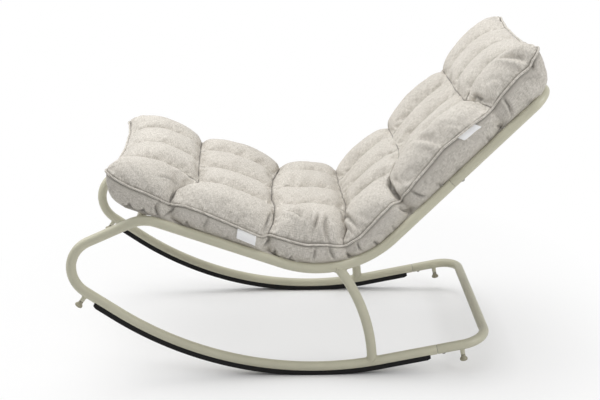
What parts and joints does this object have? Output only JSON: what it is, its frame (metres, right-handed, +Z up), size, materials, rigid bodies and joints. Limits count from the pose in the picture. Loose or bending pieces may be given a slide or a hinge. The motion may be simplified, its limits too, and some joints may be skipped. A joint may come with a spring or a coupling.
{
  "type": "outdoor rocking chair",
  "caption": "Outdoor rocking lounge chair: bent-tube side loops on rubber-soled rockers, back hoop, screw-in stop feet and a loose quilted cushion.",
  "frame": {"origin": "on the ground, under the middle of the whole chair's bounding box", "axes": "+Z up, the chair faces -X, +Y to the sitter's right"},
  "size_m": [1.31, 0.627, 0.9336],
  "materials": {
    "paint": "satin pale sage powder coat",
    "inner_steel": "bare drawn tube",
    "bolt_steel": "zinc plated",
    "tread_rubber": "matt black",
    "pad_plastic": "matt moulded",
    "cloth": "woven melange cloth"
  },
  "bodies": {
    "frame": {"side_loop_left": "paint", "side_loop_right": "paint", "brace_left": "paint", "brace_right": "paint", "front_cross_tube": "paint", "seat_cross_tube": "paint", "hip_cross_tube": "paint", "back_cross_tube": "paint", "back_hoop": "paint", "back_spigot_left": "inner_steel", "back_spigot_right": "inner_steel", "back_screw_left": "bolt_steel", "back_screw_right": "bolt_steel", "rear_stabiliser": "paint", "rear_spigot_left": "inner_steel", "rear_spigot_right": "inner_steel", "rear_screw_left": "bolt_steel", "rear_screw_right": "bolt_steel", "rocker_tread_left": "tread_rubber", "rocker_tread_right": "tread_rubber", "front_foot_boss_left": "paint", "front_foot_boss_right": "paint", "rear_foot_boss_left": "paint", "rear_foot_boss_right": "paint"},
    "front_pad_left": {"front_foot_pad_left": "pad_plastic"},
    "front_stud_left": {"front_foot_stud_left": "bolt_steel"},
    "front_pad_right": {"front_foot_pad_right": "pad_plastic"},
    "front_stud_right": {"front_foot_stud_right": "bolt_steel"},
    "rear_pad_left": {"rear_foot_pad_left": "pad_plastic"},
    "rear_stud_left": {"rear_foot_stud_left": "bolt_steel"},
    "rear_pad_right": {"rear_foot_pad_right": "pad_plastic"},
    "rear_stud_right": {"rear_foot_stud_right": "bolt_steel"},
    "cushion": {"cushion": "cloth"}
  },
  "joints": [
    {"name": "front_left_foot_travel", "type": "slide", "parent": "frame", "child": "front_pad_left", "axis": [-0.5807, 0, -0.8141], "range_m": [-0.0012, 0.008]},
    {"name": "front_left_stud_turn", "type": "hinge", "parent": "front_pad_left", "child": "front_stud_left", "pos_m": [-0.60133, -0.3, 0.25606], "axis": [-0.5807, 0, -0.8141], "range_deg": [-346, 2305]},
    {"name": "front_right_foot_travel", "type": "slide", "parent": "frame", "child": "front_pad_right", "axis": [-0.5807, 0, -0.8141], "range_m": [-0.0012, 0.008]},
    {"name": "front_right_stud_turn", "type": "hinge", "parent": "front_pad_right", "child": "front_stud_right", "pos_m": [-0.60133, 0.3, 0.25606], "axis": [-0.5807, 0, -0.8141], "range_deg": [-346, 2305]},
    {"name": "rear_left_foot_travel", "type": "slide", "parent": "frame", "child": "rear_pad_left", "axis": [0.1942, 0, -0.981], "range_m": [-0.0012, 0.008]},
    {"name": "rear_left_stud_turn", "type": "hinge", "parent": "rear_pad_left", "child": "rear_stud_left", "pos_m": [0.44684, -0.3, 0.08513], "axis": [0.1942, 0, -0.981], "range_deg": [-346, 2305]},
    {"name": "rear_right_foot_travel", "type": "slide", "parent": "frame", "child": "rear_pad_right", "axis": [0.1942, 0, -0.981], "range_m": [-0.0012, 0.008]},
    {"name": "rear_right_stud_turn", "type": "hinge", "parent": "rear_pad_right", "child": "rear_stud_right", "pos_m": [0.44684, 0.3, 0.08513], "axis": [0.1942, 0, -0.981], "range_deg": [-346, 2305]},
    {"name": "cushion_lift", "type": "slide", "parent": "frame", "child": "cushion", "axis": [-0.22, 0, 0.9755], "range_m": [0, 0.12]}
  ],
  "couplings": [
    {"joint": "front_left_stud_turn", "follows": "front_left_foot_travel", "rad_per_m": 5026.5},
    {"joint": "front_right_stud_turn", "follows": "front_right_foot_travel", "rad_per_m": 5026.5},
    {"joint": "rear_left_stud_turn", "follows": "rear_left_foot_travel", "rad_per_m": 5026.5},
    {"joint": "rear_right_stud_turn", "follows": "rear_right_foot_travel", "rad_per_m": 5026.5}
  ]
}
